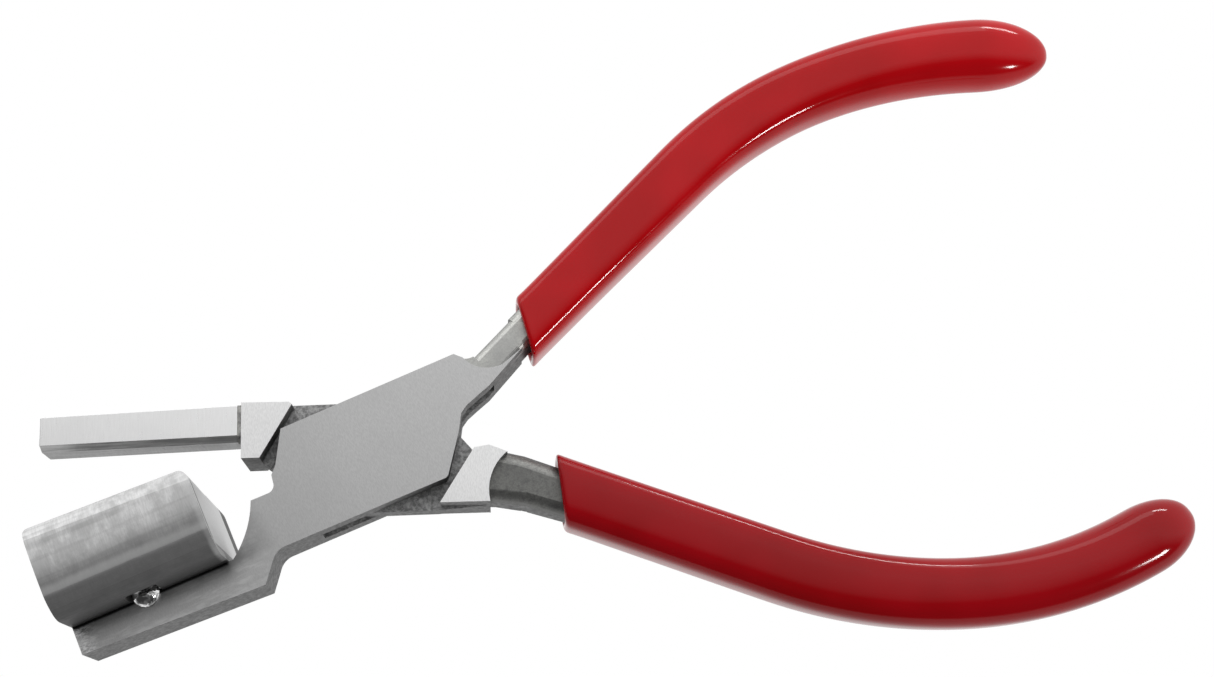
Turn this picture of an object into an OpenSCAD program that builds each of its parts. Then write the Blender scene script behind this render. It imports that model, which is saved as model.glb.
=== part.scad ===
// Crimping pliers for jewellery work: two box-jointed levers, a wide grooved die
// on one jaw and a narrow punch bar on the other, dipped grips on both handles.
// Millimetres. X runs from the jaws to the handles, Z is the pivot axis,
// the origin is on the pivot axis in the plane of the back cheek.

/* [Levers] */
// Thickness of both levers at the joint
lever_t = 9; // [7:0.5:12]
// Angle between the two levers in the drawn pose
open_angle = 21.5; // [5:0.5:35]
// Distance from the pivot to the jaw tips
jaw_reach = 41.5; // [41:0.5:50]
// Thickness of the forged necks and tangs
shank_t = 6.6; // [5:0.2:8]
// Edge radius of the box lever's neck
neck_a_r = 1.4; // [0.6:0.1:2]
// Edge radius of the through lever's neck
neck_b_r = 2.3; // [0.6:0.1:2.6]

/* [Box joint] */
// Radius of the pivot rivet
rivet_r = 3; // [2:0.25:4]
// Running clearance between the rivet and the web
rivet_gap = 0.05; // [0.02:0.01:0.1]
// Thickness of the web that passes through the box
web_t = 3; // [2:0.25:4]
// Clearance on each face of the web
web_gap = 0.15; // [0.05:0.05:0.4]
// Distance from the pivot to the slot corner that stops the web when the jaws open
stop_x = 4; // [3.8:0.1:5.6]

/* [Die] */
// Length of the die along the jaw
die_len = 21; // [15:0.5:21.5]
// Width of the die across the jaw
die_w = 30; // [20:1:40]
// Height of the die seat below the pivot line
die_seat = 6; // [5.6:0.1:6.8]
// Height of the die top above the pivot line at its heel
die_top = 5.8; // [5:0.1:6]
// Slope of the die top towards the tip
die_slope = 1.6; // [0.4:0.2:2.4]
// Radius of the die's slightly crowned front face
die_crown = 30; // [20:1:80]
// Radius of the die's lower front edge
die_foot_r = 4; // [2:0.1:4.5]
// Radius of the die's upper front edge
die_brow_r = 3.4; // [2:0.1:4]
// Radius of the die's upper corner at the heel
die_heel_r = 2.4; // [1:0.1:4]
// Radius of the die's upper corner at the tip
die_tip_r = 1.2; // [0.8:0.1:3]
// Radius of the groove's two lips
groove_lip_r = 1.2; // [0.3:0.1:1.5]
// Depth of the crimping groove
groove_d = 1.7; // [0.6:0.1:2.5]
// Clearance on each side of the punch bar in the groove
groove_gap = 0.3; // [0.1:0.1:1]
// Sheet thickness of the die cover
cover_t = 1; // [0.6:0.1:1.6]
// Thickness of the backing plate
backing_t = 5; // [3:0.5:7]
// Radius of the cross pin
pin_r = 1; // [0.6:0.1:1.4]
// Radius of the cross pin's domed heads
pin_head_r = 1.8; // [1.5:0.1:2.1]

/* [Punch bar] */
// Depth of the punch bar across the jaw
punch_t = 5.8; // [4:0.2:9]
// Thickness of the brazed seam behind the punch bar
seam_t = 0.5; // [0.3:0.1:1]

/* [Grips] */
// Width of a grip
grip_w = 9.2; // [8:0.2:11]
// Thickness of a grip
grip_t = 8.8; // [8:0.2:11]
// Corner radius of a grip
grip_r = 2.8; // [2:0.25:4]
// Width of the tang inside a grip
tang_w = 5.2; // [4:0.2:7]

/* [Hidden] */
$fn = 64;
// how far a cut runs past the solid that it cuts
past = 1;
half = open_angle / 2;
mid_z = lever_t / 2;
web_z = mid_z - web_t / 2;
slot_z = web_z - web_gap;
slot_t = web_t + 2 * web_gap;
shank_z = mid_z - shank_t / 2;
die_z0 = mid_z - die_w / 2;
die_z1 = mid_z + die_w / 2;
die_x0 = -jaw_reach;
die_x1 = die_x0 + die_len;
punch_z = lever_t - punch_t;
groove_z0 = punch_z - groove_gap;
groove_z1 = lever_t + groove_gap;
core_z0 = die_z0 + backing_t;
// radii of the die's two back edges
die_back_top_r = 2.2;
die_back_foot_r = 1.6;
// the cross pin, at the seam between the die and the jaw bar
pin_y = -die_seat + 0.4;
pin_x = (die_x0 + die_x1) / 2 - 0.6;
pin_room = 0.4;
pin_room_h = 5;
// jaw side of the through lever's shoulder
wedge_x = -15.5;
// corner radius of the tangs
tang_r = 1.4;
// depth of the rivet's countersinks, which spread at 45 degrees
sink_h = 0.6;
// fillet that rises from the die seat to the heel, its circle sunk below the seat
seat_r = 14;
seat_sink = 2.7;
// flat land of the core between the groove's lip and the cover's edge
land_w = 0.3;
cover_z0 = groove_z1 + groove_lip_r + land_w;
// overlap of the core's two lengths, so that they are one solid
land_lap = 0.3;

// points on an arc from angle a0 to a1
function arc(c, r, a0, a1, n = 8) =
    [for (i = [0:n]) c + r * [cos(a0 + (a1 - a0) * i / n), sin(a0 + (a1 - a0) * i / n)]];

// corners of a rounded rectangle, on the +x side only or all round
function half_round(w, h, r) = concat(
    arc([w / 2 - r, r - h / 2], r, -90, 0, 6),
    arc([w / 2 - r, h / 2 - r], r, 0, 90, 6));

function flip(p) = [for (i = [len(p) - 1:-1:0]) [-p[i][0], p[i][1]]];

module round_rect(w, h, r) {
    polygon(concat(half_round(w, h, r), flip(half_round(w, h, r))));
}

// half of the same rectangle, for turning
module half_rect(w, h, r) {
    polygon(concat([[0, -h / 2]], half_round(w, h, r), [[0, h / 2]]));
}

// extrude a (z, y) drawing from x towards the jaw tips
module along_jaw(x, l) {
    translate([x, 0, 0]) rotate([0, -90, 0]) linear_extrude(l) children();
}

// bowed handle bar: two arcs either side of the crest, a straight lead of slope a1
// and a round end, the last two a hair slimmer and buried in the arcs
module bow(crest, r1, a1, r2, a2, lead, w, t, r) {
    slim = 0.1;
    bury = 2;
    translate([crest[0], crest[1], mid_z]) {
        translate([0, -r1, 0]) rotate([0, 0, 90])
            rotate_extrude(angle = a1) translate([r1, 0]) round_rect(w, t, r);
        mirror([1, 0, 0]) translate([0, -r2, 0]) rotate([0, 0, 90])
            rotate_extrude(angle = a2) translate([r2, 0]) round_rect(w, t, r);
        translate([0, -r1, 0]) rotate([0, 0, a1]) translate([bury, r1, 0]) rotate([0, -90, 0])
            linear_extrude(lead + bury) round_rect(t - slim, w - slim, r);
        translate([0, -r2, 0]) rotate([0, 0, -a2]) translate([0, r2, 0])
            rotate_extrude() half_rect(w - slim, t - slim, r);
    }
}

// handle bows, drawn with both levers' jaws together
module bow_a(w, t, r, end_turn) {
    crest = [79.5, 25.2];
    root_r = 58;
    root_turn = 22.8;
    end_r = 74;
    lead = 33;
    bow(crest, root_r, root_turn, end_r, end_turn, lead, w, t, r);
}

module bow_b(w, t, r, end_turn) {
    crest = [79.5, 20.6];
    root_r = 68;
    root_turn = 21.2;
    end_r = 58;
    lead = 31;
    mirror([0, 1, 0]) bow(crest, root_r, root_turn, end_r, end_turn, lead, w, t, r);
}

module tang_a() {
    bow_a(tang_w, shank_t, tang_r, 17);
}

module tang_b() {
    bow_b(tang_w, shank_t, tang_r, 21);
}

module pose_a() {
    rotate([0, 0, half]) children();
}

module pose_b() {
    rotate([0, 0, -half]) children();
}

// tool that rounds both long edges of a neck over the straight run from p0 to p1,
// with the neck on the right of that run, and laps a little past both ends
module edge_rounds(p0, p1, r) {
    lap = 0.4;
    run = norm(p1 - p0) + 2 * lap;
    inset = r - 0.05;
    translate([p0[0], p0[1], mid_z]) rotate([0, 0, atan2(p1[1] - p0[1], p1[0] - p0[0])])
        for (side = [0, 1]) mirror([0, 0, side]) translate([-lap, 0, shank_t / 2]) difference() {
            translate([0, -r, -r]) cube([run, r + past, r + past]);
            translate([-past, -inset, -inset]) rotate([0, 90, 0])
                cylinder(r = r, h = run + 2 * past);
        }
}

// outline of the box lever: jaw bar, heel, cheek and the root of the neck
module box_outline() {
    polygon(concat(
        [[-8.1, 7.7], [16.7, 8.1], [17.5, 7.3]],
        arc([21.8, 8.6], 4.4, 197, 275),
        [[25.6, 5.3], [21.4, 3.2], [19.4, 2.2], [17.3, 1.5], [15.6, 0.9], [14.5, 0.2]],
        [[13.2, -2], [9.7, -6.8], [9.3, -7.05]],
        arc([-13.2, -9.65], 2.6, 90, 145),
        [[-17.3, -10.7], [-jaw_reach, -9.7], [-jaw_reach, -die_seat]],
        arc([-28.2, seat_r - seat_sink - die_seat], seat_r, -asin(1 - seat_sink / seat_r), -20.8, 12),
        [[-15.1, 0.3]],
        arc([-12.7, 1.4], 1.1, -90, 0),
        [[-11.45, 2.4], [-10.5, 3.4]]
    ));
}

// outline of the box lever's neck, thinner than the cheek
module box_neck_outline() {
    polygon(concat(
        [[15, 7.5], [17.5, 7.4]],
        arc([18.8, 9], 2, 230, 292),
        [[28, 10.9], [36, 15], [38, 10.6], [30, 7.2], [21.4, 3.2], [19.4, 2.2], [15, 1.4]]
    ));
}

// mill cut that lets the web through the box, open at both edges; the web's upper
// flank meets the corner at stop_x when the jaws are fully open
module box_slot() {
    translate([0, 0, slot_z]) linear_extrude(slot_t)
        polygon([[-8.2, -12], [-8.2, -7.2], [-13.4, 0.1], [-13.4, 12], [stop_x, 12],
                 [stop_x, 8], [12, 6], [20.3, 3.4], [20.3, -2], [14, -12]]);
}

module box_lever() {
    color([0.63, 0.63, 0.64]) pose_a() difference() {
        union() {
            linear_extrude(lever_t) box_outline();
            difference() {
                translate([0, 0, shank_z]) linear_extrude(shank_t) box_neck_outline();
                edge_rounds([19.5, 7.15], [29, 11.35], neck_a_r);
                edge_rounds([30, 7.2], [21.4, 3.2], neck_a_r);
            }
            tang_a();
        }
        box_slot();
        translate([0, 0, -past]) cylinder(r = rivet_r, h = lever_t + 2 * past);
        rivet_sinks();
        translate([pin_x, pin_y, -past]) cylinder(r = pin_r, h = lever_t + 2 * past);
    }
}

// countersinks that the rivet is spread into
module rivet_sinks() {
    translate([0, 0, lever_t - sink_h]) cylinder(r1 = rivet_r, r2 = rivet_r + sink_h, h = sink_h);
    cylinder(r1 = rivet_r + sink_h, r2 = rivet_r, h = sink_h);
}

module joint_rivet() {
    color([0.66, 0.66, 0.67]) union() {
        cylinder(r = rivet_r, h = lever_t);
        rivet_sinks();
    }
}

// full-thickness shoulder of the through lever on the jaw side
module jaw_shoulder() {
    polygon([[wedge_x, 7.9], [-9.3, 7.8], [-8.9, 7.5], [-13.1, 0.4], [wedge_x, 0.4]]);
}

// full-thickness shoulder on the handle side
module neck_shoulder() {
    polygon(concat(
        [[15, 0.8], [17, 1.1], [19.4, 0.1]],
        arc([23.4, -5.1], 6.6, 130, 192),
        [[16.6, -6.45], [10.35, -6.4]]
    ));
}

module web_outline() {
    polygon([[-14, 7.9], [3.6, 8], [13.2, 2.9], [15, 0.8], [17, 0.4], [16.4, -6.5],
             [10, -6.95], [-3.6, -6.95], [-13.2, 0.4], [-15, 0.6], [-15, 7.9]]);
}

module through_neck_outline() {
    polygon([[16, 1], [18.2, 0.8], [21.7, -0.1], [25.7, -1.6], [38, -6.4], [38, -12.6],
             [26.3, -8.5], [21.4, -7], [17.6, -6.2], [16, -6.3]]);
}

module through_lever() {
    color([0.7, 0.7, 0.71]) pose_b() difference() {
        union() {
            linear_extrude(lever_t) jaw_shoulder();
            linear_extrude(lever_t) neck_shoulder();
            translate([0, 0, web_z]) linear_extrude(web_t) web_outline();
            difference() {
                translate([0, 0, shank_z]) linear_extrude(shank_t) through_neck_outline();
                edge_rounds([17, 1.1], [21.7, -0.1], neck_b_r);
                edge_rounds([21.7, -0.1], [31, -3.7], neck_b_r);
                edge_rounds([31, -10.2], [21.4, -7], neck_b_r);
                edge_rounds([21.4, -7], [16, -6.1], neck_b_r);
            }
            tang_b();
        }
        translate([0, 0, -past]) cylinder(r = rivet_r + rivet_gap, h = lever_t + 2 * past);
    }
}

// silver-brazed seam between the shoulder and the punch bar
module braze_seam() {
    color([0.72, 0.71, 0.66]) pose_b() along_jaw(wedge_x, seam_t)
        polygon([[punch_z - 0.3, 2.6], [lever_t - 1.4, 2.6], [lever_t, 3.4], [lever_t, 7.5],
                 [punch_z - 0.3, 7.5]]);
}

// tapered punch bar, its lower front edge bevelled
module punch_bar() {
    color([0.76, 0.76, 0.77]) pose_b() intersection() {
        translate([-jaw_reach, 0, 0]) rotate([0, 0, 1.2]) along_jaw(jaw_reach, jaw_reach)
            polygon([[punch_z, 2.3], [lever_t - 1.5, 2.3], [lever_t, 2.95], [lever_t, 8],
                     [punch_z, 8]]);
        linear_extrude(lever_t)
            polygon([[-jaw_reach, 1], [-jaw_reach, 6.65], [wedge_x - seam_t, 7.45],
                     [wedge_x - seam_t, 1]]);
    }
}

// cross-section of the whole die, drawn as (z, y)
module die_section(drop) {
    top = die_top - drop;
    low = -die_seat - 4;
    z1 = die_z1 - drop;
    brow_r = die_brow_r - drop;
    floor_y = die_top - groove_d;
    lip = min(groove_lip_r, top - floor_y - 0.1);
    polygon(concat(
        [[die_z0, low]],
        arc([die_z0 + die_back_top_r, top - die_back_top_r], die_back_top_r, 180, 90),
        arc([groove_z0 - lip, top - lip], lip, 90, 0),
        [[groove_z0, floor_y], [groove_z1, floor_y]],
        arc([groove_z1 + lip, top - lip], lip, 180, 90),
        arc([z1 - brow_r, top - brow_r], brow_r, 90, 0),
        [[z1, low]]
    ));
}

// lower half of the cross-section, with its round bottom corners
module die_base_section(drop) {
    low = -die_seat + drop;
    z1 = die_z1 - drop;
    foot_r = die_foot_r - drop;
    polygon(concat(
        [[die_z0, 20]],
        arc([die_z0 + die_back_foot_r, low + die_back_foot_r], die_back_foot_r, 180, 270),
        arc([z1 - foot_r, low + foot_r], foot_r, 270, 360),
        [[z1, 20]]
    ));
}

// die outline seen from the front; its corner arcs meet the sloping top at a slight angle
module die_outline() {
    tip_rise = die_len * tan(die_slope);
    polygon(concat(
        [[die_x1, -20]],
        arc([die_x1 - die_heel_r, die_top - 0.9 * die_heel_r], die_heel_r, 0, 90),
        [[die_x1 - die_heel_r, 20], [die_x0 + die_tip_r, 20]],
        arc([die_x0 + die_tip_r, die_top + tip_rise - 0.9 * die_tip_r], die_tip_r, 90, 180),
        [[die_x0, -20]]
    ));
}

// solid die blank less a skin of the given thickness
module die_blank(drop) {
    intersection() {
        translate([die_x1, 0, 0]) rotate([0, 0, -die_slope]) along_jaw(2, die_len + 4)
            die_section(drop);
        along_jaw(die_x1, die_len) die_base_section(drop);
        translate([0, 0, die_z1 - die_crown]) rotate([0, -90, 0])
            cylinder(r = die_crown - drop, h = 2 * jaw_reach, $fn = 180);
        translate([0, 0, die_z0 - past]) linear_extrude(die_w + 2 * past) die_outline();
    }
}

// everything between two planes across the die
module die_slice(z0, z1) {
    translate([-60, -20, z0]) cube([60, 40, z1 - z0]);
}

// room round the cross pin's heads in the underside of the die
module pin_relief() {
    translate([pin_x, pin_y, -pin_room_h])
        cylinder(r = pin_head_r + pin_room, h = lever_t + 2 * pin_room_h);
}

module die_cover() {
    color([0.62, 0.62, 0.63]) pose_a() difference() {
        intersection() {
            die_blank(0);
            die_slice(cover_z0, die_z1 + 1);
        }
        die_blank(cover_t);
        pin_relief();
    }
}

module die_core() {
    color([0.8, 0.8, 0.8]) pose_a() difference() {
        union() {
            intersection() {
                die_blank(0);
                die_slice(core_z0, cover_z0);
            }
            intersection() {
                die_blank(cover_t);
                die_slice(cover_z0 - land_lap, die_z1);
            }
        }
        pin_relief();
    }
}

module die_backing() {
    color([0.16, 0.16, 0.17]) pose_a() intersection() {
        die_blank(0);
        die_slice(die_z0 - 1, core_z0);
    }
}

// cross pin under the die, a domed head at each face of the jaw bar
module die_pin() {
    color([0.85, 0.85, 0.86]) pose_a() translate([pin_x, pin_y, 0]) {
        cylinder(r = pin_r, h = lever_t);
        translate([0, 0, lever_t]) pin_head();
        mirror([0, 0, 1]) pin_head();
    }
}

module pin_head() {
    dome_r = 2.3;
    sink = 1;
    rim_a = acos(pin_head_r / dome_r);
    flat_a = 78;
    rotate_extrude() polygon(concat(
        [[0, 0], [pin_head_r, 0]],
        arc([0, -sink], dome_r, rim_a, flat_a, 7),
        [[0, dome_r * sin(flat_a) - sink]]
    ));
}

// cut that ends a grip at its mouth, through point p and turned by a slant
module grip_mouth(p, slant) {
    translate([p[0], p[1], -10]) rotate([0, 0, slant]) translate([-20, -20, 0]) cube([20, 40, 30]);
}

module upper_grip() {
    color([0.72, 0.06, 0.1]) pose_a() difference() {
        bow_a(grip_w, grip_t, grip_r, 24.4);
        tang_a();
        translate([0, 0, shank_z]) linear_extrude(shank_t) box_neck_outline();
        grip_mouth([26.9, 8], -13);
    }
}

module lower_grip() {
    color([0.72, 0.06, 0.1]) pose_b() difference() {
        bow_b(grip_w, grip_t, grip_r, 29.4);
        tang_b();
        translate([0, 0, shank_z]) linear_extrude(shank_t) through_neck_outline();
        grip_mouth([26.8, -5.4], 5);
    }
}

box_lever();
through_lever();
joint_rivet();
braze_seam();
punch_bar();
die_cover();
die_core();
die_backing();
die_pin();
upper_grip();
lower_grip();
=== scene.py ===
"""Crimping pliers: materials, dipped grips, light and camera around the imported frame. Metres."""
import math
from collections import namedtuple

import bmesh
import bpy
from mathutils import Matrix, Vector


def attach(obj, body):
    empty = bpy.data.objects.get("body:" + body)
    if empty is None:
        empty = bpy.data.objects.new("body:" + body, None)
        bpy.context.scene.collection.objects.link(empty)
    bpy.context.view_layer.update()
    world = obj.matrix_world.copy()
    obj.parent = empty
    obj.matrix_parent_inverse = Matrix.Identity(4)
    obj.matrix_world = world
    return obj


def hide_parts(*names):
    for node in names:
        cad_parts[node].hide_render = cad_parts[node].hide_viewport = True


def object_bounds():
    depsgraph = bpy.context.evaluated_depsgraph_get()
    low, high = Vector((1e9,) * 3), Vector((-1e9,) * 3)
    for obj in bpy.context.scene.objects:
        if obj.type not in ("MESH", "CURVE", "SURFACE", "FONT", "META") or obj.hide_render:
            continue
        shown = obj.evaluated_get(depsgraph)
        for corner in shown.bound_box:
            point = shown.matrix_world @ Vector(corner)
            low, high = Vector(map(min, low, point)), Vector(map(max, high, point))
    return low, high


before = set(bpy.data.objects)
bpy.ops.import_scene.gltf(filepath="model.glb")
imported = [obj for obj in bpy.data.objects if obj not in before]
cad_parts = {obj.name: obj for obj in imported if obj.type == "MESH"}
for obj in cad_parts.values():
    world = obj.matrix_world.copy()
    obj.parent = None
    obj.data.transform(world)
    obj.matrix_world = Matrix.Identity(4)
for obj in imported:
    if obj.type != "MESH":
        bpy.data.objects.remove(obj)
cad_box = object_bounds()

MM = 0.001
HALF_OPEN = math.radians(10.75)  # each lever's turn from the line that halves the opening
MID_Z = 4.5 * MM  # half the joint's thickness
# a lever's layers by distance from its middle plane, where the web's faces lie at 1.5 mm, the
# necks' at 3.3 mm and the cheeks' and shoulders' at 4.5 mm
WEB_LAYER = 2.4 * MM
NECK_LAYER = 4.2 * MM
# in the box lever's own frame, with the pivot at zero
JAW_TIP_X = -41.5 * MM
DIE_HEEL_X = -20.5 * MM
DIE_SEAT_Y = -6.0 * MM
COVER_T = 1.0 * MM
CORE_FRONT_Z = cad_box[1][2] - COVER_T
CORE_FOOT_Y = DIE_SEAT_Y + COVER_T


# ---------------------------------------------------------------- shader helpers
class Nodes:
    """Short calls that add nodes to one material and link them."""

    def __init__(self, name, turn=0.0):
        self.material = bpy.data.materials.new(name)
        self.material.use_nodes = True
        self.tree = self.material.node_tree
        self.shader = self.tree.nodes["Principled BSDF"]
        coords = self.add("ShaderNodeTexCoord")
        self.normal = self.turned(coords.outputs["Normal"], turn)
        self.place = self.turned(coords.outputs["Object"], turn)

    def add(self, kind, **settings):
        node = self.tree.nodes.new(kind)
        for key, value in settings.items():
            setattr(node, key, value)
        return node

    def link(self, source, socket):
        self.tree.links.new(source, socket)

    def feed(self, socket, value):
        if isinstance(value, bpy.types.NodeSocket):
            self.link(value, socket)
        else:
            socket.default_value = value

    def turned(self, vector, turn):
        """The vector in a lever's own frame, whose X axis is turned by turn about Z."""
        node = self.add("ShaderNodeVectorRotate", rotation_type="Z_AXIS")
        self.link(vector, node.inputs["Vector"])
        node.inputs["Angle"].default_value = -turn
        return node.outputs[0]

    def axis(self, vector, letter):
        node = self.add("ShaderNodeSeparateXYZ")
        self.link(vector, node.inputs[0])
        return node.outputs[letter]

    def math(self, operation, a, b=0.0):
        node = self.add("ShaderNodeMath", operation=operation)
        self.feed(node.inputs[0], a)
        self.feed(node.inputs[1], b)
        return node.outputs[0]

    def times(self, a, b):
        return self.math("MULTIPLY", a, b)

    def ramp(self, value, low, high, out_low=0.0, out_high=1.0):
        """Smooth step of value from low to high."""
        node = self.add("ShaderNodeMapRange", interpolation_type="SMOOTHSTEP")
        self.feed(node.inputs["Value"], value)
        node.inputs["From Min"].default_value = low
        node.inputs["From Max"].default_value = high
        node.inputs["To Min"].default_value = out_low
        node.inputs["To Max"].default_value = out_high
        return node.outputs["Result"]

    def noise(self, scale, stretch=(1, 1, 1), detail=3.0, rough=0.55):
        """Noise over the piece. Scale is per metre, and stretch squeezes it along each axis."""
        mapping = self.add("ShaderNodeMapping")
        self.link(self.place, mapping.inputs["Vector"])
        mapping.inputs["Scale"].default_value = stretch
        node = self.add("ShaderNodeTexNoise")
        self.link(mapping.outputs[0], node.inputs["Vector"])
        node.inputs["Scale"].default_value = scale
        node.inputs["Detail"].default_value = detail
        node.inputs["Roughness"].default_value = rough
        return node.outputs["Fac"]

    def mix(self, factor, a, b):
        """Colour mix. a and b are colours or sockets."""
        node = self.add("ShaderNodeMix", data_type="RGBA")
        self.feed(node.inputs["Factor"], factor)
        self.feed(node.inputs["A"], rgba(a))
        self.feed(node.inputs["B"], rgba(b))
        return node.outputs["Result"]

    def blend(self, factor, a, b):
        """Value mix."""
        node = self.add("ShaderNodeMix", data_type="FLOAT")
        self.feed(node.inputs["Factor"], factor)
        self.feed(node.inputs["A"], a)
        self.feed(node.inputs["B"], b)
        return node.outputs["Result"]

    def bump(self, height, strength, distance):
        node = self.add("ShaderNodeBump")
        self.link(height, node.inputs["Height"])
        node.inputs["Strength"].default_value = strength
        node.inputs["Distance"].default_value = distance
        self.link(node.outputs[0], self.shader.inputs["Normal"])

    def finish(self, color, roughness, metallic=1.0):
        self.feed(self.shader.inputs["Base Color"], rgba(color))
        self.feed(self.shader.inputs["Roughness"], roughness)
        self.shader.inputs["Metallic"].default_value = metallic
        return self.material


def rgba(color):
    return (*color, 1.0) if isinstance(color, tuple) and len(color) == 3 else color


def grey(level, tint=(1.0, 1.0, 1.0)):
    return tuple(level * t for t in tint)


# ---------------------------------------------------------------- steel
def on_jaw(n):
    """1 on the jaw bar under the die, fading out towards the cheek."""
    return n.ramp(n.axis(n.place, "X"), DIE_HEEL_X + 0.5 * MM, DIE_HEEL_X + 7.5 * MM, 1.0, 0.0)


def jaw_face_wear_and_shade(n, ground, face, cloud):
    """Rubs on the jaw bar's face, soot with painted shade just under the die, a scraped tip, and a slow
    darkening towards the jaw.
    """
    x, y = n.axis(n.place, "X"), n.axis(n.place, "Y")
    rubs = n.noise(420, (0.35, 1.6, 1.0), 6.0, 0.7)
    ground = n.mix(n.times(on_jaw(n), n.ramp(rubs, 0.42, 0.62)), ground, grey(face * 1.35))
    # soot and painted shade, darkest just under the die
    grime_and_shade_under_die = n.times(on_jaw(n), n.ramp(y, DIE_SEAT_Y - 2.3 * MM, DIE_SEAT_Y))
    ground = n.mix(n.times(grime_and_shade_under_die, n.ramp(cloud, 0.35, 0.6, 0.4, 0.95)), ground, grey(face * 0.25))
    ground = n.mix(n.ramp(x, -18 * MM, 2 * MM, 0.18, 0.0), ground, grey(face * 0.6))
    scraped = n.ramp(x, JAW_TIP_X + 0.2 * MM, JAW_TIP_X + 3.5 * MM, 1.0, 0.0)
    scores = n.ramp(n.noise(1300, (1.0, 2.5, 1.0), 6.0, 0.75), 0.45, 0.6)
    return n.mix(n.times(scraped, scores), ground, grey(0.95))


def jaw_edge_painted_shade(n, color, facing):
    """Painted shadow: dark lines where the die sits on the jaw bar and along the bar's edges."""
    x, y = n.axis(n.place, "X"), n.axis(n.place, "Y")
    by_die = n.ramp(x, DIE_HEEL_X - 0.4 * MM, DIE_HEEL_X, 1.0, 0.0)
    # painted contact shadow where the die sits on the bar
    shadow_under_die = n.times(by_die, n.ramp(y, DIE_SEAT_Y - 0.5 * MM, DIE_SEAT_Y - 0.2 * MM))
    color = n.mix(shadow_under_die, color, grey(0.02))
    # painted shade on the jaw bar's bevelled edges
    edge_shade = n.times(n.ramp(facing, 0.15, 0.35), n.ramp(facing, 0.8, 0.96, 0.85, 0.0))
    return n.mix(n.times(on_jaw(n), edge_shade), color, grey(0.05))


def lever_steel(name, turn, face, shank, flank, jaw_wear_and_shade=False):
    """Ground faces, bead-blasted necks, a rough mottled web that is also painted darker as the shade of
    its recess, and rough-cut flanks.

    face, shank and flank are grey levels. The last argument is for the box lever: it adds the wear
    marks and painted shade on the jaw and leaves the neck's faces without pits.
    """
    n = Nodes(name, turn)
    from_middle = n.math("ABSOLUTE", n.math("SUBTRACT", n.axis(n.place, "Z"), MID_Z))
    facing = n.math("ABSOLUTE", n.axis(n.normal, "Z"))
    flat = n.ramp(facing, 0.8, 0.97)
    side = n.ramp(facing, 0.2, 0.6, 1.0, 0.0)
    on_shank = n.ramp(from_middle, NECK_LAYER - 0.1 * MM, NECK_LAYER + 0.1 * MM, 1.0, 0.0)
    on_web = n.ramp(from_middle, WEB_LAYER - 0.2 * MM, WEB_LAYER + 0.2 * MM, 1.0, 0.0)
    on_web = n.times(on_web, n.ramp(facing, 0.4, 0.8))
    grain = n.noise(5200, (1.8, 0.4, 1.0), 3.0, 0.6)
    fine = n.noise(5200, detail=3.0, rough=0.6)
    cloud = n.noise(150, detail=5.0, rough=0.6)
    pits = n.noise(1700, detail=6.0, rough=0.75)

    ground = n.mix(n.ramp(grain, 0.35, 0.65), grey(face * 0.93), grey(face * 1.07))
    ground = n.mix(n.ramp(cloud, 0.35, 0.7, 0.0, 0.2), ground, grey(face * 0.88))
    if jaw_wear_and_shade:
        ground = jaw_face_wear_and_shade(n, ground, face, cloud)
    dull, bright = grey(shank * 0.86, (1, 1, 0.96)), grey(shank * 1.12, (0.99, 1, 0.95))
    blasted = n.mix(n.ramp(fine, 0.3, 0.7), dull, bright)
    blasted = n.mix(n.ramp(cloud, 0.35, 0.7, 0.0, 0.55), blasted, grey(shank * 0.66))
    pitted = n.ramp(facing, 0.6, 0.95, 1.0, 0.0 if jaw_wear_and_shade else 0.7)
    pitted = n.times(n.ramp(pits, 0.46, 0.66, 0.0, 0.75), pitted)
    blasted = n.mix(pitted, blasted, grey(shank * 0.5))
    rough_cut = n.mix(n.ramp(pits, 0.4, 0.62), grey(flank * 0.72), grey(flank * 1.25))
    # the web sits in a recess: rough mottled steel, painted darker as the recess's shade
    web = n.mix(n.ramp(pits, 0.36, 0.66), grey(0.22), grey(0.54))

    color = n.mix(flat, rough_cut, ground)
    color = n.mix(on_shank, color, blasted)
    color = n.mix(side, color, rough_cut)
    # painted shadow lines under the die and along the jaw bar's edges
    if jaw_wear_and_shade:
        color = jaw_edge_painted_shade(n, color, facing)
    color = n.mix(on_web, color, web)
    rough = n.blend(on_shank, n.blend(flat, 0.46, n.ramp(grain, 0.3, 0.7, 0.31, 0.37)), 0.5)
    n.bump(n.blend(on_shank, n.blend(flat, pits, grain), fine), 0.16, 0.03 * MM)
    # darker at a grazing view, as dirty steel is
    n.shader.inputs["Specular Tint"].default_value = (0.35, 0.35, 0.35, 1.0)
    return n.finish(color, n.blend(on_web, rough, 0.6))


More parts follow.
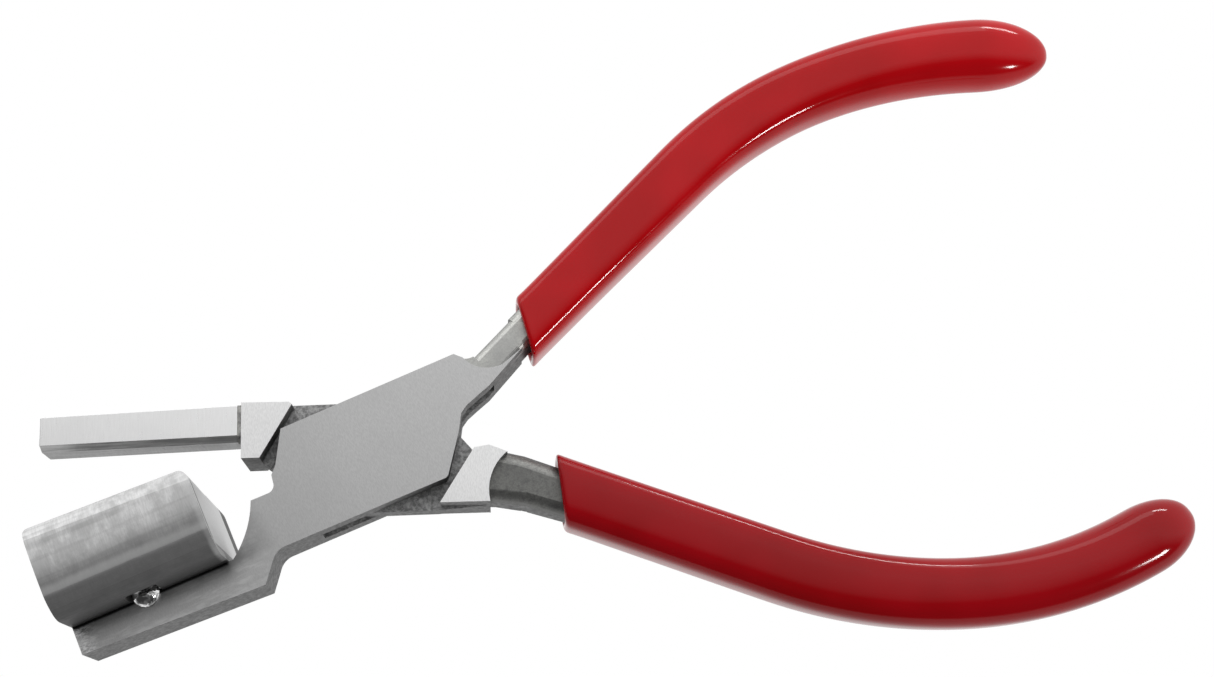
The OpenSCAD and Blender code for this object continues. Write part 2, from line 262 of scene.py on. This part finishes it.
def bar_steel():
    """Bright ground punch bar: lines across it, grey sides, and painted shade on its lower bevel and
    underside.
    """
    n = Nodes("punch_bar_steel", -HALF_OPEN)
    y = n.axis(n.normal, "Y")
    z = n.axis(n.normal, "Z")
    lines = n.noise(1900, (2.6, 0.22, 0.3), 5.0, 0.68)
    cloud = n.noise(260, detail=4.0)
    color = n.mix(n.ramp(lines, 0.32, 0.68), grey(0.95), grey(1.0))
    color = n.mix(n.ramp(cloud, 0.42, 0.75, 0.0, 0.25), color, grey(0.9))
    side = n.ramp(n.math("ABSOLUTE", z), 0.3, 0.7, 1.0, 0.0)
    color = n.mix(side, color, n.mix(lines, grey(0.3), grey(0.6)))
    # painted shade: the faces turned down are dark and streaked, the lower bevel a little less
    streak = n.noise(900, (0.15, 1.0, 3.0), 4.0, 0.65)
    underside_shade = n.mix(n.ramp(streak, 0.35, 0.65), grey(0.12), grey(0.22))
    bevel = n.mix(n.ramp(streak, 0.35, 0.65), grey(0.24), grey(0.42))
    underside_shade = n.mix(n.ramp(z, 0.15, 0.35), underside_shade, bevel)
    color = n.mix(n.ramp(y, -0.9, -0.6, 1.0, 0.0), color, underside_shade)
    n.bump(lines, 0.2, 0.035 * MM)
    return n.finish(color, n.ramp(lines, 0.3, 0.7, 0.27, 0.36))


def die_steel():
    """Satin sheet with fine lines across it, cloudy stains, painted shade darkening it towards its
    foot, and grime with painted shade where it turns under.
    """
    n = Nodes("die_satin", HALF_OPEN)
    x, y = n.axis(n.place, "X"), n.axis(n.place, "Y")
    lines = n.noise(1900, (2.4, 0.3, 0.35), 5.0, 0.68)
    stains = n.noise(330, (1.0, 0.75, 1.0), 6.0, 0.65)
    color = n.mix(n.ramp(lines, 0.3, 0.7), grey(0.64), grey(0.78))
    color = n.mix(n.ramp(stains, 0.4, 0.62, 0.0, 0.5), color, grey(0.44))
    # faint bands along the die, where it was rolled
    bands = n.noise(900, (0.06, 1.0, 1.0), 3.0, 0.5)
    color = n.mix(n.ramp(bands, 0.45, 0.65, 0.0, 0.3), color, grey(0.3))
    height = n.math("ADD", y, n.times(stains, 0.5 * MM))
    # painted shade: the front darkens from its middle down towards the foot
    low = n.ramp(height, -2.8 * MM, 2.0 * MM, 0.82, 0.0)
    color = n.mix(low, color, grey(0.17))
    # a pale line just above the turn, and grime with painted shade under that
    pale = n.times(n.ramp(height, -3.2 * MM, -2.5 * MM), n.ramp(height, -2.2 * MM, -1.2 * MM, 1.0, 0.0))
    color = n.mix(n.times(pale, 0.4), color, grey(0.72))
    under = n.ramp(height, -5.2 * MM, -3.0 * MM, 0.6, 0.0)
    color = n.mix(n.times(under, n.ramp(stains, 0.3, 0.6, 0.75, 1.0)), color, grey(0.16))
    # painted shade on the faces turned down
    color = n.mix(n.ramp(n.axis(n.normal, "Y"), -0.97, -0.5, 0.75, 0.0), color, grey(0.08))
    # a pale rim at the heel end
    near_heel = n.math("ADD", x, n.times(stains, 0.8 * MM))
    rim = n.ramp(near_heel, DIE_HEEL_X - 0.5 * MM, DIE_HEEL_X + 0.1 * MM, 0.0, 0.4)
    color = n.mix(rim, color, grey(0.66))
    n.bump(n.math("ADD", lines, n.times(stains, 0.6)), 0.2, 0.04 * MM)
    return n.finish(color, n.ramp(stains, 0.3, 0.7, 0.58, 0.68))


def core_steel():
    n = Nodes("die_core_ground", HALF_OPEN)
    lines = n.noise(1800, (0.4, 2.5, 2.5), 4.0, 0.6)
    color = n.mix(n.ramp(lines, 0.3, 0.7), grey(0.5), grey(0.64))
    # painted shadow lines beside the cover's sheet and along the core's foot
    front = n.ramp(n.axis(n.place, "Z"), CORE_FRONT_Z - 1.2 * MM, CORE_FRONT_Z - 0.9 * MM)
    foot = n.ramp(n.axis(n.place, "Y"), CORE_FOOT_Y + 0.2 * MM, CORE_FOOT_Y + 0.5 * MM, 1.0, 0.0)
    color = n.mix(n.times(n.math("MAXIMUM", front, foot), 0.85), color, grey(0.07))
    n.bump(lines, 0.12, 0.04 * MM)
    return n.finish(color, n.ramp(lines, 0.3, 0.7, 0.38, 0.5))


def dark_backing():
    n = Nodes("dark_speckled_backing", HALF_OPEN)
    # a very dark sheet with pale specks
    specks = n.noise(3800, detail=4.0, rough=0.7)
    color = n.mix(n.ramp(specks, 0.56, 0.7), grey(0.016), grey(0.16))
    n.bump(specks, 0.25, 0.05 * MM)
    return n.finish(color, 0.55, 0.3)


def braze_metal():
    n = Nodes("braze_filler", -HALF_OPEN)
    blotch = n.noise(1700, (1.0, 0.5, 1.0), 4.0, 0.7)
    color = n.mix(n.ramp(blotch, 0.35, 0.65), grey(0.2), grey(0.5, (1, 0.99, 0.95)))
    n.bump(blotch, 0.3, 0.08 * MM)
    return n.finish(color, 0.5)


def bright_chrome():
    n = Nodes("pin_chrome")
    dents_and_dark_reflections = n.noise(1100, detail=2.0)
    n.bump(dents_and_dark_reflections, 0.5, 0.25 * MM)
    # the dark patches in the colour are painted reflection, laid over the dents
    color = n.mix(n.ramp(dents_and_dark_reflections, 0.4, 0.6), grey(0.25), grey(0.9))
    return n.finish(color, n.ramp(dents_and_dark_reflections, 0.3, 0.7, 0.06, 0.14))


def red_vinyl(name, depth):
    """Glossy dipped vinyl: uneven depth of colour, slow ripples and fine dust."""
    n = Nodes(name)
    slow = n.noise(70, detail=2.0)
    dust = n.noise(5200, detail=2.0)
    color = n.mix(n.ramp(slow, 0.35, 0.65), (depth * 0.92, 0.0, 0.002), (depth * 1.08, 0.0005, 0.004))
    color = n.mix(n.ramp(dust, 0.72, 0.8, 0.0, 0.1), color, (0.6, 0.2, 0.2))
    ripple = n.math("ADD", n.noise(190, detail=1.0), n.times(dust, 0.02))
    n.bump(ripple, 0.08, 0.25 * MM)
    n.shader.inputs["Specular IOR Level"].default_value = 0.26
    return n.finish(color, n.ramp(slow, 0.3, 0.7, 0.07, 0.12), 0.0)


# ---------------------------------------------------------------- pieces
def ease_edges(obj, width):
    """Small real bevels on a CAD node's sharp edges, by modifiers only."""
    weld = obj.modifiers.new("weld", "WELD")
    weld.merge_threshold = 0.001 * MM
    bevel = obj.modifiers.new("bevel", "BEVEL")
    bevel.width = width
    bevel.segments = 2
    bevel.limit_method = "ANGLE"
    bevel.angle_limit = math.radians(32)
    normals = obj.modifiers.new("normals", "WEIGHTED_NORMAL")
    normals.keep_sharp = True


def paint(node, material):
    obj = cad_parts[node]
    obj.data.materials.clear()
    obj.data.materials.append(material)


BODY_RINGS = 50
END_RINGS = 16

# A grip's centre line, in the lever's frame and mm: one arc from the crest to the tip, another
# back through jaw_angle degrees, then a straight to the mouth. up is 1, or -1 to bow downwards.
Bow = namedtuple("Bow", "crest_x crest_y jaw_radius jaw_angle tip_radius up")


def bow_point(bow, s):
    """Centre and direction of the bow at arc length s from its crest."""
    if s >= 0:
        radius, a, straight = bow.tip_radius, s / bow.tip_radius, 0.0
    else:
        radius = bow.jaw_radius
        a = -min(-s / radius, math.radians(bow.jaw_angle))
        straight = -s + a * radius
    ahead = Vector((math.cos(a), -math.sin(a)))
    crest = Vector((bow.crest_x, bow.crest_y))
    place = crest + Vector((math.sin(a), math.cos(a) - 1)) * radius - ahead * straight
    return Vector((place.x, place.y * bow.up)), Vector((ahead.x, ahead.y * bow.up))


def smooth(t):
    t = min(max(t, 0.0), 1.0)
    return t * t * (3 - 2 * t)


def ring_points(width, depth, square, count=40):
    """A superellipse: square is its power, 2 for an ellipse and more for flatter sides."""
    points = []
    for i in range(count):
        a = 2 * math.pi * i / count
        c, s = math.cos(a), math.sin(a)
        u = math.copysign(abs(c) ** (2 / square), c) * width / 2
        v = math.copysign(abs(s) ** (2 / square), s) * depth / 2
        points.append((u, v))
    return points


def grip(name, bow, start, end, slant, widths, depth, round_end, turn, vinyl_depth_and_shade):
    """A dipped grip: a lofted skin that widens from its mouth, a rolled lip and a full round end.

    It runs from start to end along the bow. widths are at the mouth, the middle and the tip,
    slant leans the mouth, and the last argument is the vinyl's depth of colour, set lower on the lower
    grip as painted shade.
    """
    mouth_w, mid_w, tip_w = widths
    bm = bmesh.new()
    rings = []

    def ring(s, width, thick, square, lean):
        ahead = bow_point(bow, s)[1]
        across = Vector((-ahead.y, ahead.x))
        loop = []
        for u, v in ring_points(width, thick, square):
            spot = bow_point(bow, s + lean * u)[0] + across * u
            loop.append(bm.verts.new((spot.x * MM, spot.y * MM, MID_Z + v * MM)))
        rings.append(loop)

    # the bore, from inside outwards, then the rolled lip
    ring(start + 4.0, 5.4, 6.8, 5.0, 0.0)
    ring(start + 1.2, 5.6, 7.0, 5.0, slant)
    for depth_in, inset in ((0.5, 1.0), (0.12, 0.8), (0.0, 0.48), (0.12, 0.16), (0.42, -0.04)):
        ring(start + depth_in, mouth_w - 2 * inset, depth - 2 * inset, 4.2, slant)
    length = end - start
    past_lip = start + 1.1
    body = end - round_end - past_lip
    stations = [past_lip + body * i / BODY_RINGS for i in range(BODY_RINGS)]
    quarter = math.pi / 2 / END_RINGS
    stations += [end - round_end * (1 - math.sin(quarter * i)) for i in range(END_RINGS + 1)]
    for s in stations:
        t = (s - start) / length
        grow = smooth(t / 0.55)
        width = mouth_w + (mid_w - mouth_w) * grow + (tip_w - mid_w) * smooth((t - 0.55) / 0.4)
        left = (end - s) / round_end
        close = math.sqrt(max(1 - (1 - min(left, 1.0)) ** 2, 0.0001))
        square = 4.0 - 1.5 * smooth((t - 0.2) / 0.7)
        lean = slant * (1 - smooth((s - start) / 12.0))
        ring(s, width * close, depth * close, square, lean)

    for a, b in zip(rings, rings[1:]):
        for i in range(len(a)):
            j = (i + 1) % len(a)
            bm.faces.new((a[i], a[j], b[j], b[i]))
    bm.faces.new(list(reversed(rings[0])))
    bm.faces.new(rings[-1])
    bmesh.ops.transform(bm, matrix=Matrix.Rotation(turn, 4, "Z"), verts=bm.verts)
    bmesh.ops.recalc_face_normals(bm, faces=bm.faces)
    mesh = bpy.data.meshes.new(name)
    bm.to_mesh(mesh)
    bm.free()
    mesh.polygons.foreach_set("use_smooth", [True] * len(mesh.polygons))
    obj = bpy.data.objects.new(name, mesh)
    bpy.context.scene.collection.objects.link(obj)
    surface = obj.modifiers.new("surface", "SUBSURF")
    surface.levels = 1
    surface.render_levels = 1
    obj.data.materials.append(red_vinyl(name + "_vinyl", vinyl_depth_and_shade))
    return obj


# ---------------------------------------------------------------- stage
FOCAL_PER_WIDTH = 1700 / 1214  # assumed: the photograph doesn't tell its focal length


def camera():
    """The photograph's view, facing the joint from a little to its -Y side."""
    right = Vector((0.9706, -0.2328, 0.0605))
    look = Vector((0.1192, 0.2468, -0.9617)).normalized()
    right = (right - look * right.dot(look)).normalized()
    up = right.cross(look)
    data = bpy.data.cameras.new("camera")
    data.sensor_width = 36.0
    data.lens = data.sensor_width * FOCAL_PER_WIDTH
    data.clip_start = 0.01
    data.dof.use_dof = False
    obj = bpy.data.objects.new("camera", data)
    turn = Matrix((right, up, -look)).transposed().to_4x4()
    obj.matrix_world = Matrix.Translation(Vector((8.15, -48.1, 230.25)) * MM) @ turn
    bpy.context.scene.collection.objects.link(obj)
    bpy.context.scene.camera = obj


def soft_light(name, place, aim, size, power):
    data = bpy.data.lights.new(name, "AREA")
    data.shape = "RECTANGLE"
    data.size, data.size_y = size
    data.energy = power
    obj = bpy.data.objects.new(name, data)
    obj.location = place
    obj.rotation_euler = (Vector(aim) - Vector(place)).to_track_quat("-Z", "Y").to_euler()
    bpy.context.scene.collection.objects.link(obj)


def studio():
    """A tent that is bright overhead towards +Y and +X and dim towards -Y, over a white table."""
    world = bpy.data.worlds.new("tent")
    bpy.context.scene.world = world
    world.use_nodes = True
    tree = world.node_tree
    add, link = tree.nodes.new, tree.links.new
    tree.nodes["Background"].inputs["Color"].default_value = (1, 1, 1, 1)
    split = add("ShaderNodeSeparateXYZ")
    link(add("ShaderNodeTexCoord").outputs["Generated"], split.inputs[0])

    def slope(base, per_x, per_y, low, high):
        """base + per_x * X + per_y * Y, kept between low and high."""
        along_x = add("ShaderNodeMath")
        along_x.operation = "MULTIPLY_ADD"
        link(split.outputs["X"], along_x.inputs[0])
        along_x.inputs[1].default_value = per_x
        along_x.inputs[2].default_value = base
        along_y = add("ShaderNodeMath")
        along_y.operation = "MULTIPLY_ADD"
        link(split.outputs["Y"], along_y.inputs[0])
        along_y.inputs[1].default_value = per_y
        link(along_x.outputs[0], along_y.inputs[2])
        clamp = add("ShaderNodeClamp")
        clamp.inputs["Min"].default_value = low
        clamp.inputs["Max"].default_value = high
        link(along_y.outputs[0], clamp.inputs["Value"])
        return clamp.outputs[0]

    horizon = add("ShaderNodeMapRange")
    horizon.interpolation_type = "SMOOTHSTEP"
    horizon.inputs["From Min"].default_value = 0.1
    horizon.inputs["From Max"].default_value = 0.34
    link(split.outputs["Z"], horizon.inputs["Value"])
    both = add("ShaderNodeMix")
    both.data_type = "FLOAT"
    link(horizon.outputs["Result"], both.inputs["Factor"])
    link(slope(0.95, 0.0, 0.1, 0.8, 1.05), both.inputs["A"])
    link(slope(0.27, 1.22, 2.55, 0.12, 1.05), both.inputs["B"])
    link(both.outputs["Result"], tree.nodes["Background"].inputs["Strength"])
    # small boxes, placed to miss the mirror direction of the flat faces
    soft_light("rear_window", (0.05, 0.5, 0.3), (0.06, 0, 0), (0.7, 0.2), 0.7)
    soft_light("rear_strip", (0.42, 0.4, 0.22), (0.08, 0, 0), (0.2, 0.03), 0.6)
    soft_light("side_box", (0.345, -0.26, 0.27), (0.03, 0.015, 0), (0.06, 0.06), 0.6)


def floor():
    """A plain white floor that the tool's wide die lies on."""
    size = 3.0
    bm = bmesh.new()
    bmesh.ops.create_grid(bm, x_segments=2, y_segments=2, size=size)
    bmesh.ops.translate(bm, verts=bm.verts, vec=(0, 0, cad_box[0][2] - 0.2 * MM))
    mesh = bpy.data.meshes.new("floor")
    bm.to_mesh(mesh)
    bm.free()
    obj = bpy.data.objects.new("floor", mesh)
    bpy.context.scene.collection.objects.link(obj)
    n = Nodes("white_floor")
    n.shader.inputs["Emission Color"].default_value = (1, 1, 1, 1)
    n.shader.inputs["Emission Strength"].default_value = 1.0
    n.finish((0.0, 0.0, 0.0), 1.0, 0.0)
    n.shader.inputs["Specular IOR Level"].default_value = 0.0
    obj.data.materials.append(n.material)
    obj.visible_diffuse = False
    obj.visible_glossy = False
    obj.visible_shadow = False


# ---------------------------------------------------------------- build
camera()
studio()
floor()

paint("box_lever", lever_steel("box_lever_steel", HALF_OPEN, 0.57, 0.56, 0.3, jaw_wear_and_shade=True))
paint("through_lever", lever_steel("through_lever_steel", -HALF_OPEN, 0.95, 0.22, 0.31))
paint("joint_rivet", lever_steel("rivet_steel", HALF_OPEN, 0.57, 0.56, 0.3))
paint("punch_bar", bar_steel())
paint("braze_seam", braze_metal())
paint("die_cover", die_steel())
paint("die_core", core_steel())
paint("die_backing", dark_backing())
paint("die_pin", bright_chrome())

ease_edges(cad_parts["box_lever"], 0.09 * MM)
ease_edges(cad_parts["through_lever"], 0.09 * MM)
ease_edges(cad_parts["punch_bar"], 0.12 * MM)

upper = grip(
    "upper_grip_skin",
    Bow(crest_x=79.5, crest_y=25.2, jaw_radius=58.0, jaw_angle=22.8, tip_radius=74.0, up=1),
    start=-55.6, end=36.4, slant=0.58, widths=(7.9, 9.2, 10.6), depth=8.8, round_end=11.0,
    turn=HALF_OPEN, vinyl_depth_and_shade=0.46,
)
lower = grip(
    "lower_grip_skin",
    Bow(crest_x=79.5, crest_y=20.6, jaw_radius=68.0, jaw_angle=21.2, tip_radius=58.0, up=-1),
    start=-55.9, end=34.8, slant=-0.5, widths=(9.0, 9.4, 9.6), depth=8.8, round_end=8.0,
    # the lower grip's vinyl is set darker: painted shade, as that grip gets less light
    turn=-HALF_OPEN, vinyl_depth_and_shade=0.29,
)
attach(upper, "box_side")
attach(lower, "through_side")
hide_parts("upper_grip")
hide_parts("lower_grip")

bpy.context.scene.view_settings.view_transform = "Standard"
